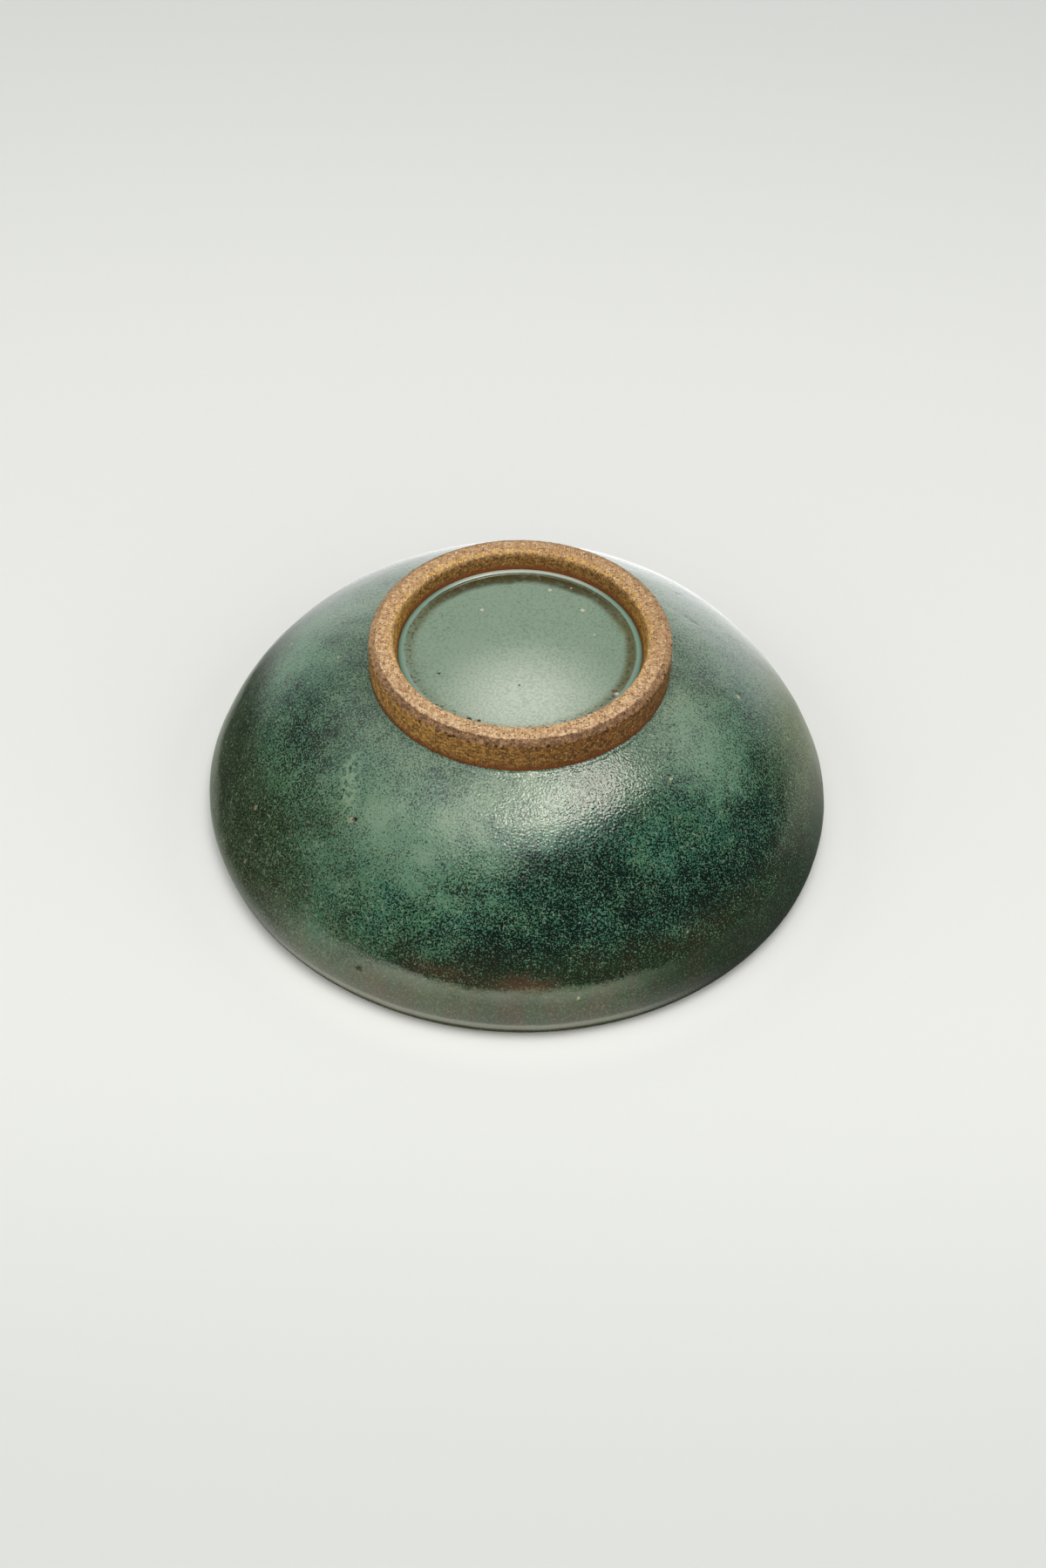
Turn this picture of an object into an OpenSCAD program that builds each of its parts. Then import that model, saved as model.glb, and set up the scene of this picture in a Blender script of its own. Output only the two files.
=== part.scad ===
// Footed stoneware bowl with a green glaze, lying upside down on its lip.
// Sizes are in millimetres. The origin is the middle of the circle on which the lip rests,
// and +Z runs up through the middle of the foot.
// Every piece is round: a section of [radius, height] points is turned once about Z.
// Pieces that touch share the same section points, so that they meet face to face.

/* [Bowl] */
// Diameter at the widest point of the wall, over the glaze
rim_d = 160; // [144:1:176]
// Height from the lip to the landing of the foot
bowl_h = 57.3; // [52:0.1:63]
// Radius of the main curve outside, over the glaze
belly_r = 64; // [58:0.5:72]
// Radius of the curve that turns the wall in at the lip, over the glaze
lip_curl_r = 10; // [8:0.5:13]
// Angle by which the lip turns in below the widest point
lip_turn_in = 30; // [10:1:45]
// Thickness of the clay at the lip
lip_t = 4; // [3:0.1:5]
// Radius of the main curve inside, on the clay
hollow_r = 59.4; // [54:0.2:66]
// Diameter of the flat middle of the floor inside
floor_flat_d = 40; // [30:1:50]
// Thickness of the clay floor above the foot's well
floor_t = 5.8; // [4:0.1:8]

/* [Foot] */
// Diameter of the foot ring's outer wall
foot_d = 74.4; // [68:0.2:82]
// Height of the foot ring's bare outer wall, from the glaze to the landing
foot_h = 9.2; // [7:0.1:12]
// Diameter of the landing's inner edge
landing_in_d = 62.8; // [61:0.2:68]
// Width of the bevel round the landing's outer edge
bevel_w = 1.8; // [0.8:0.1:2.4]
// Height of that bevel
bevel_h = 1.1; // [0.5:0.1:2]
// Diameter of the glazed well inside the foot ring
well_d = 60.2; // [54:0.2:62]
// Depth of the well, from the landing to its glaze
well_depth = 4.9; // [4.2:0.1:6.5]
// Thickness of the slip that sticks the foot ring to the bowl
slip_t = 0.3; // [0.2:0.05:0.6]

/* [Glaze] */
// Thickness of the glaze coats
glaze_t = 0.6; // [0.4:0.05:0.9]
// Width of the bead round the edge of the well's glaze
bead_w = 1.8; // [1:0.1:3]
// Height of that bead above the glaze beside it
bead_h = 0.45; // [0.2:0.05:0.5]

/* [Hidden] */
$fn = 180;
clay_colour = "#8d6844";
slip_colour = "#6e4a2e";
green_colour = "#2c5a4b";
lip_colour = "#6d7563";
well_colour = "#7c9886";
nose_steps = 8;
curl_steps = 6;
wall_steps = 28;
bead_steps = 8;
foot_r = foot_d / 2;
landing_in_r = landing_in_d / 2;
well_r = well_d / 2;

// Unit vector at an angle in the section
function toward(a) = [cos(a), sin(a)];

// Angle at which a point is seen from a centre
function angle_of(c, p) = atan2(p[1] - c[1], p[0] - c[0]);

// Points along an arc, from angle a0 to angle a1
function arc(c, r, a0, a1, steps) = [for (i = [0:steps]) c + r * toward(a0 + (a1 - a0) * i / steps)];

// The same arc without its first point, to follow an arc that ends there
function arc_on(c, r, a0, a1, steps) = [for (i = [1:steps]) c + r * toward(a0 + (a1 - a0) * i / steps)];

// The points of an outline in the other direction
function back(points) = [for (i = [len(points) - 1:-1:0]) points[i]];

// Centre of a curve of radius r that runs on smoothly from the lip's curve and passes through point p
function curve_centre(lip_c, lip_r, r, p) =
    let (d = norm(p - lip_c), u = (p - lip_c) / d, reach = r - lip_r)
    let (along = (reach ^ 2 - r ^ 2 + d ^ 2) / (2 * d))
    lip_c + along * u + sqrt(reach ^ 2 - along ^ 2) * [-u[1], u[0]];

// The lip: a round nose in the clay, on the curve that turns the wall in
nose_r = lip_t / 2;
nose_c_r = lip_curl_r - glaze_t - nose_r;
curl_c = [rim_d / 2 - lip_curl_r, nose_r + glaze_t + nose_c_r * sin(lip_turn_in)];
nose_c = curl_c + nose_c_r * toward(-lip_turn_in);
inner_curl_r = lip_curl_r - glaze_t - lip_t;

// The outside: from the lip's curve through the point where the glaze meets the foot ring
glaze_end = [foot_r, bowl_h - foot_h];
belly_c = curve_centre(curl_c, lip_curl_r, belly_r, glaze_end);
belly_start = angle_of(belly_c, curl_c);
seat_z = belly_c[1] + sqrt((belly_r - glaze_t) ^ 2 - (foot_r - belly_c[0]) ^ 2);

// The well inside the foot ring, and the floor of the bowl beneath it
well_z = bowl_h - well_depth;
base_z = well_z - glaze_t;
base_r = well_r - slip_t;
floor_edge = [floor_flat_d / 2, base_z - floor_t];

// The inside: from the lip's curve to the edge of the flat floor
hollow_c = curve_centre(curl_c, inner_curl_r, hollow_r, floor_edge);
hollow_start = angle_of(hollow_c, curl_c);
hollow_end = angle_of(hollow_c, floor_edge);

// The outside curve from the lip to the foot, at a depth below the glaze's surface
function outside(depth, end) = concat(
    arc(curl_c, lip_curl_r - depth, -lip_turn_in, 0, curl_steps),
    arc_on(curl_c, lip_curl_r - depth, 0, belly_start, curl_steps),
    arc_on(belly_c, belly_r - depth, belly_start, angle_of(belly_c, end), wall_steps));

// The inside curve from the lip to the floor, at a height above the clay
function inside(height) = concat(
    arc(curl_c, inner_curl_r - height, -lip_turn_in, hollow_start, curl_steps),
    arc_on(hollow_c, hollow_r - height, hollow_start, hollow_end, wall_steps));

// The lip from its outer side round the bottom to its inner side, at a height above the clay
function nose(height) = concat(
    arc(nose_c, nose_r + height, -lip_turn_in, -90, nose_steps),
    arc_on(nose_c, nose_r + height, -90, -180 - lip_turn_in, nose_steps));

// The bead round the edge of the well's glaze, from the ring inwards
function bead() =
    let (r = (bead_w ^ 2 / 4 + bead_h ^ 2) / (2 * bead_h), c = [well_r - bead_w / 2, well_z + bead_h - r])
    let (a = angle_of(c, [well_r, well_z]))
    arc(c, r, a, 180 - a, bead_steps);

clay_outside = outside(glaze_t, [foot_r, seat_z]);
clay_inside = inside(0);
clay_nose = nose(0);
glaze_inside = inside(glaze_t);
floor_glaze_z = glaze_inside[len(glaze_inside) - 1][1];

// Thrown wall and floor, with a turned shoulder that seats the foot ring
module clay_body() {
    color(clay_colour)
        rotate_extrude()
            polygon(concat(
                clay_outside,
                [[base_r, seat_z], [base_r, base_z], [0, base_z], [0, floor_edge[1]]],
                back(clay_inside),
                [for (i = [len(clay_nose) - 2:-1:1]) clay_nose[i]]));
}

// Bare ring of clay that the bowl stands on in use
module foot_ring() {
    color(clay_colour)
        rotate_extrude()
            polygon([
                [foot_r, seat_z + slip_t],
                [foot_r, bowl_h - bevel_h],
                [foot_r - bevel_w, bowl_h],
                [landing_in_r, bowl_h],
                [well_r, well_z],
                [well_r, seat_z + slip_t]]);
}

// Seam of slip under the foot ring and round the base inside it
module foot_slip() {
    color(slip_colour)
        rotate_extrude()
            polygon([
                [foot_r, seat_z],
                [foot_r, seat_z + slip_t],
                [well_r, seat_z + slip_t],
                [well_r, base_z],
                [base_r, base_z],
                [base_r, seat_z]]);
}

// Coat of glaze outside, from the lip to the foot ring
module outer_glaze() {
    color(green_colour)
        rotate_extrude()
            polygon(concat(outside(0, glaze_end), back(clay_outside)));
}

// Coat of glaze that runs over the lip and joins the other two
module lip_glaze() {
    color(lip_colour)
        rotate_extrude()
            polygon(concat(nose(glaze_t), back(clay_nose)));
}

// Coat of glaze inside, from the lip to the middle of the floor
module inner_glaze() {
    color(green_colour)
        rotate_extrude()
            polygon(concat(
                glaze_inside,
                [[0, floor_glaze_z], [0, floor_edge[1]]],
                back(clay_inside)));
}

// Disc of glaze in the foot's well, thick at its edge
module foot_well_glaze() {
    color(well_colour)
        rotate_extrude()
            polygon(concat([[0, base_z], [well_r, base_z]], bead(), [[0, well_z]]));
}

clay_body();
foot_ring();
foot_slip();
outer_glaze();
lip_glaze();
inner_glaze();
foot_well_glaze();
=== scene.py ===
# %% [markdown]
# # A green-glazed bowl, upside down
#
# This lesson dresses a footed stoneware bowl that lies on its lip with its foot up. The solid model has
# seven pieces: the thrown clay, the foot ring, a seam of slip and four coats of glaze. Each piece is
# turned here again with a much finer mesh, and then it gets the marks of the hand and of the kiln.

# %% Load the solid model
import math

import bmesh
import bpy
import numpy as np
from mathutils import Euler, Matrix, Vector


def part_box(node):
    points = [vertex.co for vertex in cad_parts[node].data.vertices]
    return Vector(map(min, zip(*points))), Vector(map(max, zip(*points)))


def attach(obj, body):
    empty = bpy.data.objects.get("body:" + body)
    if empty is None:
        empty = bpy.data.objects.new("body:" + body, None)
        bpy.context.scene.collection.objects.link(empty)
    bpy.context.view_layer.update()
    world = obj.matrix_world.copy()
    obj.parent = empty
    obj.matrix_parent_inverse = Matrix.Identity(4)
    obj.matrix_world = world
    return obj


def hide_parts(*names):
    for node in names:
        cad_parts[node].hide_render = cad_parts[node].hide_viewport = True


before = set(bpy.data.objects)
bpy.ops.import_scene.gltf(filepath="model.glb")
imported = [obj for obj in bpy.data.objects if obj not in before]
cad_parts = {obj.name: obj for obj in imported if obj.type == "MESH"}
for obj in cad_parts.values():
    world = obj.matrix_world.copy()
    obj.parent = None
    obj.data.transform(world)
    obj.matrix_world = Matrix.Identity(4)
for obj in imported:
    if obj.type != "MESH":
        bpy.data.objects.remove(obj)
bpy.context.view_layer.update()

scene = bpy.context.scene
scene.view_settings.view_transform = "Standard"
print("nodes:", sorted(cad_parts))

# %% [markdown]
# ## Sizes
#
# A potter thinks of a bowl as a few curves. Heights and radii that show in the boxes of the solid nodes
# are read from there, so that they can't drift apart from the model. The radii of the curves don't show
# in a box, so they are written here, in the units that a potter's gauge would show.

# %% Sizes of the bowl
MM = 0.001
rim_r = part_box("outer_glaze")[1].x
glaze_line_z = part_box("outer_glaze")[1].z
bowl_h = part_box("foot_ring")[1].z
foot_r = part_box("foot_ring")[1].x
seat_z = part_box("foot_slip")[0].z
ring_bottom_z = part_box("foot_ring")[0].z
well_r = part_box("foot_well_glaze")[1].x
base_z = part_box("foot_well_glaze")[0].z
floor_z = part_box("inner_glaze")[1].z
belly_r = 64 * MM
hollow_r = 59.4 * MM
lip_curl_r = 10 * MM
lip_turn_in = 30
lip_t = 4 * MM
glaze_t = 0.6 * MM
floor_flat_r = 20 * MM
landing_in_r = 31.4 * MM
bevel_w = 1.8 * MM
bevel_h = 1.1 * MM
bead_w = 1.8 * MM
bead_h = 0.45 * MM
slip_t = ring_bottom_z - seat_z
base_r = well_r - slip_t
well_z = base_z + glaze_t
for size_name, size in (("rim radius", rim_r), ("height", bowl_h), ("foot radius", foot_r)):
    print(size_name, round(size / MM, 2), "mm")

# %% [markdown]
# ## The camera
#
# The picture was taken from above the front, with a lens of about 50 mm, and the camera was held a little
# askew. A camera looks along its own -Z, so a turn about X by 90 degrees less the downward pitch points
# it at the table, and a small turn about its own Z gives the tilt of the picture.

# %% Camera
camera_place = Vector((1.36, -391.96, 420.32)) * MM
camera_pitch = 46.703
camera_roll = 2.409
camera_data = bpy.data.cameras.new("camera")
camera_data.lens = 50
camera_data.sensor_width = 36
camera_data.clip_start = 0.01
camera = bpy.data.objects.new("camera", camera_data)
scene.collection.objects.link(camera)
look_down = Euler((math.radians(90 - camera_pitch), 0, 0)).to_matrix()
tilt = Euler((0, 0, math.radians(camera_roll))).to_matrix()
camera.location = camera_place
camera.rotation_euler = (look_down @ tilt).to_euler()
scene.camera = camera
print("camera", round(camera_place.length, 3), "m from the middle of the lip")

# %% [markdown]
# ## Sections
#
# A section is the outline that a knife would show if it cut the bowl in half: rows of radius and height.
# Arcs are worked out by formula, as on the drawing, and straight stretches with soft corners are sampled
# evenly, so that every piece gets as many rows as its detail needs.

# %% Helpers for sections
def arc(centre, radius, start, end, steps):
    """Points on an arc. Angles are in degrees."""
    angles = np.radians(np.linspace(start, end, steps + 1))
    return np.array(centre) + radius * np.stack([np.cos(angles), np.sin(angles)], axis=1)


def angle_of(centre, point):
    """Angle at which a point is seen from a centre."""
    return math.degrees(math.atan2(point[1] - centre[1], point[0] - centre[0]))


def curve_centre(lip_centre, lip_radius, radius, point):
    """Centre of a curve that leaves the lip's curve smoothly and passes through a point."""
    gap = np.array(point) - lip_centre
    distance = np.hypot(*gap)
    reach = radius - lip_radius
    along = (reach**2 - radius**2 + distance**2) / (2 * distance)
    unit = gap / distance
    return lip_centre + along * unit + math.sqrt(reach**2 - along**2) * np.array([-unit[1], unit[0]])


def soft_corners(corners, cuts, steps=6):
    """A path through corners. Each but the two ends is rounded, over its own length on either side."""
    corners = np.array(corners, float)
    path = [corners[:1]]
    t = np.linspace(0, 1, steps + 1)[:, None]
    for before, corner, after, cut in zip(corners[:-2], corners[1:-1], corners[2:], cuts):
        a = corner + (before - corner) / np.hypot(*(before - corner)) * cut
        b = corner + (after - corner) / np.hypot(*(after - corner)) * cut
        path.append((1 - t) ** 2 * a + 2 * t * (1 - t) * corner + t**2 * b)
    path.append(corners[-1:])
    return np.concatenate(path)


def run_along(path):
    """How far each point of a path is from its start, along the path."""
    return np.concatenate([[0], np.cumsum(np.hypot(*np.diff(path, axis=0).T))])


def evenly(path, spacing):
    """The same path with points about spacing apart."""
    run = run_along(path)
    marks = np.linspace(0, run[-1], max(2, int(round(run[-1] / spacing)) + 1))
    return np.stack([np.interp(marks, run, path[:, k]) for k in (0, 1)], axis=1)


def joined(*stretches):
    """Stretches one after another, without points that repeat."""
    points = np.concatenate(stretches)
    keep = np.concatenate([[True], np.hypot(*np.diff(points, axis=0).T) > 1e-7])
    return points[keep]


# %% Centres of the curves
nose_r = lip_t / 2
nose_reach = lip_curl_r - glaze_t - nose_r
sink = nose_reach * math.sin(math.radians(lip_turn_in))
curl_c = np.array([rim_r - lip_curl_r, nose_r + glaze_t + sink])
nose_c = arc(curl_c, nose_reach, -lip_turn_in, -lip_turn_in, 1)[0]
inner_curl_r = lip_curl_r - glaze_t - lip_t
belly_c = curve_centre(curl_c, lip_curl_r, belly_r, (foot_r, glaze_line_z))
belly_start = angle_of(belly_c, curl_c)
hollow_c = curve_centre(curl_c, inner_curl_r, hollow_r, (floor_flat_r, floor_z))
hollow_start = angle_of(hollow_c, curl_c)
hollow_end = angle_of(hollow_c, (floor_flat_r, floor_z))
print("curve centres in millimetres:", (belly_c / MM).round(2), (hollow_c / MM).round(2))

# %% Curves of the wall and the lip
foot_stretch = 2.4 * MM


def wall_outside(depth, curl_steps, belly_steps, foot_steps=0):
    """The outer curve from the lip to the foot ring, at a depth under the glaze's surface.

    The last stretch beside the foot may have steps of its own.
    """
    radius = belly_r - depth
    end = math.degrees(math.acos((foot_r - belly_c[0]) / radius))
    near_foot = end - math.degrees(foot_stretch / radius) if foot_steps else end
    stretches = [
        arc(curl_c, lip_curl_r - depth, -lip_turn_in, belly_start, curl_steps),
        arc(belly_c, radius, belly_start, near_foot, belly_steps),
    ]
    if foot_steps:
        stretches.append(arc(belly_c, radius, near_foot, end, foot_steps))
    return joined(*stretches)


def wall_inside(height, curl_steps, hollow_steps):
    """The inner curve from the lip to the edge of the flat floor, at a height above the clay."""
    return joined(
        arc(curl_c, inner_curl_r - height, -lip_turn_in, hollow_start, curl_steps),
        arc(hollow_c, hollow_r - height, hollow_start, hollow_end, hollow_steps),
    )


def lip_nose(height, steps):
    """The lip from its outer side round the bottom to its inner side, at a height above the clay."""
    return arc(nose_c, nose_r + height, -lip_turn_in, -180 - lip_turn_in, steps)


print("outer curve", round(run_along(wall_outside(0, 18, 104))[-1] / MM, 1), "mm long")

# %% [markdown]
# ## Node trees from Python
#
# Trees of nodes read like recipes once a few helpers hide the clicking. `put` adds a node and fills its
# inputs, and the others are short names for arithmetic, smooth steps, noise and mixing. They work in
# Geometry Nodes and in shaders alike, because both share these nodes.

# %% Helpers for node trees
def put(tree, kind, inputs=None, **settings):
    """Adds a node. An input gets a value, or a link from another node's socket."""
    node = tree.nodes.new(kind)
    for name, value in settings.items():
        setattr(node, name, value)
    for key, value in (inputs or {}).items():
        if isinstance(value, bpy.types.NodeSocket):
            tree.links.new(value, node.inputs[key])
        else:
            node.inputs[key].default_value = value
    return node


def new_tree(name, kind, inputs, outputs):
    """A node group with named inputs (name, type, value) and outputs (name, type)."""
    tree = bpy.data.node_groups.new(name, kind)
    for label, socket, value in inputs:
        item = tree.interface.new_socket(label, in_out="INPUT", socket_type="NodeSocket" + socket)
        if value is not None:
            item.default_value = value
    for label, socket in outputs:
        tree.interface.new_socket(label, in_out="OUTPUT", socket_type="NodeSocket" + socket)
    return tree, put(tree, "NodeGroupInput").outputs, put(tree, "NodeGroupOutput").inputs


def finished(tree, results, out):
    """Links what a tree gives back, says how large the tree is, and returns it."""
    for name, socket in results.items():
        tree.links.new(socket, out[name])
    print("tree:", tree.name, "with", len(tree.nodes), "nodes")
    return tree


# %% Helpers for arithmetic
def calc(tree, operation, *values, **settings):
    """Arithmetic on numbers."""
    return put(tree, "ShaderNodeMath", dict(enumerate(values)), operation=operation, **settings).outputs[0]


def chain(tree, operation, values):
    """One operation carried through several values."""
    result = values[0]
    for value in values[1:]:
        result = calc(tree, operation, result, value)
    return result


def times(tree, *values):
    """The product of several values."""
    return chain(tree, "MULTIPLY", values)


def total(tree, *values):
    """The sum of several values."""
    return chain(tree, "ADD", values)


def largest(tree, *values):
    """The largest of several values."""
    return chain(tree, "MAXIMUM", values)


def minus(tree, a, b):
    """One value less another."""
    return calc(tree, "SUBTRACT", a, b)


def ratio(tree, a, b):
    """One value divided by another."""
    return calc(tree, "DIVIDE", a, b)


def scaled(tree, value, factor, shift):
    """A value times a factor, plus a shift."""
    return calc(tree, "MULTIPLY_ADD", value, factor, shift)


def reach_of(tree, x, y):
    """Distance from the bowl's axis."""
    return calc(tree, "SQRT", total(tree, times(tree, x, x), times(tree, y, y)))


def xyz(tree, vector):
    """The three parts of a vector."""
    return put(tree, "ShaderNodeSeparateXYZ", {0: vector}).outputs


# %% Helpers for steps, noise and mixing
def fade(tree, value, start, end, low=0.0, high=1.0):
    """A smooth step from low to high as value goes from start to end."""
    sockets = {0: value, 1: start, 2: end, 3: low, 4: high}
    return put(tree, "ShaderNodeMapRange", sockets, interpolation_type="SMOOTHSTEP").outputs[0]


def fade_mm(tree, value, start, end, low=0.0, high=1.0):
    """The same step, with its start and end in millimetres."""
    return fade(tree, value, start * MM, end * MM, low, high)


def near(tree, value, middle, far, close):
    """1 where a value is within close of a middle, and 0 where it is farther than far."""
    return fade(tree, calc(tree, "ABSOLUTE", minus(tree, value, middle)), far, close)


def noise(tree, where, size, detail=2.0, roughness=0.5, distortion=0.0):
    """Soft noise from 0 to 1 with blobs about size metres across."""
    sockets = {"Scale": ratio(tree, 1.0, size), "Detail": detail}
    sockets.update({"Vector": where, "Roughness": roughness, "Distortion": distortion})
    return put(tree, "ShaderNodeTexNoise", sockets).outputs[0]


def swing(tree, where, size, amount, detail=2.0, roughness=0.5):
    """The same noise about 0, from half an amount below to half an amount above."""
    return scaled(tree, noise(tree, where, size, detail, roughness), amount, -amount / 2)


def mix(tree, share, a, b, blend="MIX"):
    """A mix of two colours."""
    return put(tree, "ShaderNodeMix", {0: share, 6: a, 7: b}, data_type="RGBA", blend_type=blend).outputs[2]


def washed(tree, base, *washes):
    """A base colour with washes (share, colour) laid over it, one after another."""
    for share, tint in washes:
        base = mix(tree, share, base, tint)
    return base


print("helpers for trees, arithmetic, steps, noise and mixing are ready")

# %% [markdown]
# ## Turning on the wheel
#
# A turned pot is one section carried round an axis. Spin, Screw or a lathe function could do it. Here a
# Geometry Nodes tree does: it takes a grid with one column for each step round the wheel and one row for
# each section point, and sends every grid point to its radius, angle and height. The seam and the poles
# are then merged. The section's points carry a value named skin, which says how far a point may be moved
# later: 1 on a surface that shows, and 0 where two pieces meet.

# %% Helpers for Geometry Nodes
def geometry_tree(name, inputs):
    """A tree for a modifier. Geometry is its first input and its only output."""
    geometry = ("Geometry", "Geometry", None)
    return new_tree(name, "GeometryNodeTree", [geometry, *inputs], [geometry[:2]])


def place_of(tree):
    """Where a point is."""
    return put(tree, "GeometryNodeInputPosition").outputs[0]


def held(tree, name):
    """A value that a point carries."""
    return put(tree, "GeometryNodeInputNamedAttribute", {"Name": name}, data_type="FLOAT").outputs[0]


def stored(tree, geometry, name, value):
    """The geometry with a value stored on its points."""
    sockets = {"Geometry": geometry, "Name": name, "Value": value}
    return put(tree, "GeometryNodeStoreNamedAttribute", sockets, data_type="FLOAT").outputs[0]


def sampled(tree, geometry, value, index, kind="FLOAT"):
    """A value as another geometry has it at an index."""
    sockets = {"Geometry": geometry, "Value": value, "Index": index}
    return put(tree, "GeometryNodeSampleIndex", sockets, data_type=kind).outputs[0]


def shifted(tree, geometry, offset):
    """The geometry with its points moved by an offset."""
    return put(tree, "GeometryNodeSetPosition", {"Geometry": geometry, "Offset": offset}).outputs[0]


def pushed(tree, geometry, amount):
    """The geometry with its points moved along their normals."""
    normal = put(tree, "GeometryNodeInputNormal").outputs[0]
    offset = put(tree, "ShaderNodeVectorMath", {0: normal, "Scale": amount}, operation="SCALE").outputs[0]
    return shifted(tree, geometry, offset)


# %% Tree that turns a section
merge_gap = 0.0005 * MM


def wheel_tree():
    tree, given, out = geometry_tree("turned on the wheel", [("Steps Around", "Int", 360)])
    section = given["Geometry"]
    rows = put(tree, "GeometryNodeAttributeDomainSize", {0: section}).outputs["Point Count"]
    columns = total(tree, given["Steps Around"], 1.0)
    grid = put(tree, "GeometryNodeMeshGrid", {"Vertices X": columns, "Vertices Y": rows}).outputs["Mesh"]
    index = put(tree, "GeometryNodeInputIndex").outputs[0]
    row = calc(tree, "MODULO", index, rows)
    column = calc(tree, "FLOOR", ratio(tree, total(tree, index, 0.5), rows))
    turn = times(tree, ratio(tree, column, given["Steps Around"]), math.tau)
    radius, _, height = xyz(tree, sampled(tree, section, place_of(tree), row, "FLOAT_VECTOR"))
    spot = put(tree, "ShaderNodeCombineXYZ", {
        0: times(tree, radius, calc(tree, "COSINE", turn)),
        1: times(tree, radius, calc(tree, "SINE", turn)),
        2: height}).outputs[0]
    kept = stored(tree, grid, "skin", sampled(tree, section, held(tree, "skin"), row))
    turned = put(tree, "GeometryNodeSetPosition", {"Geometry": kept, "Position": spot}).outputs[0]
    closed = put(tree, "GeometryNodeMergeByDistance", {"Geometry": turned, "Distance": merge_gap}).outputs[0]
    return finished(tree, {"Geometry": closed}, out)


wheel = wheel_tree()

# %% [markdown]
# ## Uneven skins
#
# Nothing thrown and fired is as true as a drawing. Lumps a few centimetres wide come from the hand,
# ripples a few millimetres wide from the glaze, and rings from the fingers as the wheel turns. One tree
# pushes the skin along its normals by these three amounts. The real surface moves, so highlights break up
# as they do on the pot.

# %% Tree that makes a skin uneven
def uneven_tree():
    tree, given, out = geometry_tree("uneven skin", [
        ("Lump Size", "Float", 25 * MM), ("Lump Height", "Float", 0.2 * MM),
        ("Ripple Size", "Float", 3 * MM), ("Ripple Height", "Float", 0.03 * MM),
        ("Ring Pitch", "Float", 6 * MM), ("Ring Height", "Float", 0.0)])
    place = place_of(tree)
    x, y, z = xyz(tree, place)
    lumps = swing(tree, place, given["Lump Size"], 1.0)
    ripples = swing(tree, place, given["Ripple Size"], 1.0, 3.0, 0.6)
    turns = ratio(tree, minus(tree, z, reach_of(tree, x, y)), given["Ring Pitch"])
    wave = calc(tree, "SINE", total(tree, times(tree, lumps, 6.0), times(tree, turns, math.tau)))
    push = total(tree, times(tree, lumps, given["Lump Height"], 2.0),
                 times(tree, ripples, given["Ripple Height"], 2.0),
                 times(tree, wave, given["Ring Height"]))
    moved = pushed(tree, given["Geometry"], times(tree, push, held(tree, "skin")))
    return finished(tree, {"Geometry": moved}, out)


uneven = uneven_tree()

# %% [markdown]
# ## Grains and pits
#
# Grog grains stand proud of bare clay, and gas leaves pits and pinholes in glaze. Both are small round
# marks strewn over a surface, so one tree makes them: it strews points with a fixed seed, gives each a
# size, and lifts or sinks the skin round it. The mesh stays one closed surface, which instanced pebbles
# wouldn't. Each mark also leaves its shape and a random tone on the mesh, so that a material can colour
# it.

# %% Tree that strews grains or pits
def dome(tree, away, radius):
    """A round mark: 1 in its middle and 0 at its radius."""
    return fade(tree, ratio(tree, away, radius), 1.0, 0.3)


def strewn_tree():
    tree, given, out = geometry_tree("strewn marks", [
        ("Density", "Float", 1e5), ("Smallest", "Float", 0.3 * MM), ("Largest", "Float", 0.5 * MM),
        ("Height", "Float", 0.1 * MM), ("Lowest", "Float", -1.0), ("Highest", "Float", 1.0),
        ("Least Reach", "Float", 0.0), ("Mark", "String", "grain"), ("Tone", "String", "tone"),
        ("Seed", "Int", 1)])
    x, y, z = xyz(tree, place_of(tree))
    skin = held(tree, "skin")
    inside = times(tree, calc(tree, "GREATER_THAN", z, given["Lowest"]),
                   calc(tree, "LESS_THAN", z, given["Highest"]),
                   calc(tree, "GREATER_THAN", reach_of(tree, x, y), given["Least Reach"]),
                   calc(tree, "GREATER_THAN", skin, 0.5))
    points = put(tree, "GeometryNodeDistributePointsOnFaces", {
        "Mesh": given["Geometry"], "Density": times(tree, inside, given["Density"]),
        "Seed": given["Seed"]}).outputs["Points"]
    size = put(tree, "FunctionNodeRandomValue", {
        2: given["Smallest"], 3: given["Largest"], "Seed": given["Seed"]}, data_type="FLOAT").outputs[1]
    tone_seed = total(tree, given["Seed"], 7.0)
    tone = put(tree, "FunctionNodeRandomValue", {"Seed": tone_seed}, data_type="FLOAT").outputs[1]
    nearest = put(tree, "GeometryNodeSampleNearest", {"Geometry": points}, domain="POINT").outputs[0]
    size_here = sampled(tree, points, size, nearest)
    away = put(tree, "GeometryNodeProximity", {0: points}, target_element="POINTS").outputs["Distance"]
    mark = times(tree, dome(tree, away, size_here), skin)
    marked = stored(tree, given["Geometry"], given["Mark"], mark)
    toned = stored(tree, marked, given["Tone"], sampled(tree, points, tone, nearest))
    push = times(tree, mark, given["Height"], ratio(tree, size_here, given["Largest"]))
    return finished(tree, {"Geometry": pushed(tree, toned, push)}, out)


strewn = strewn_tree()
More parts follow.
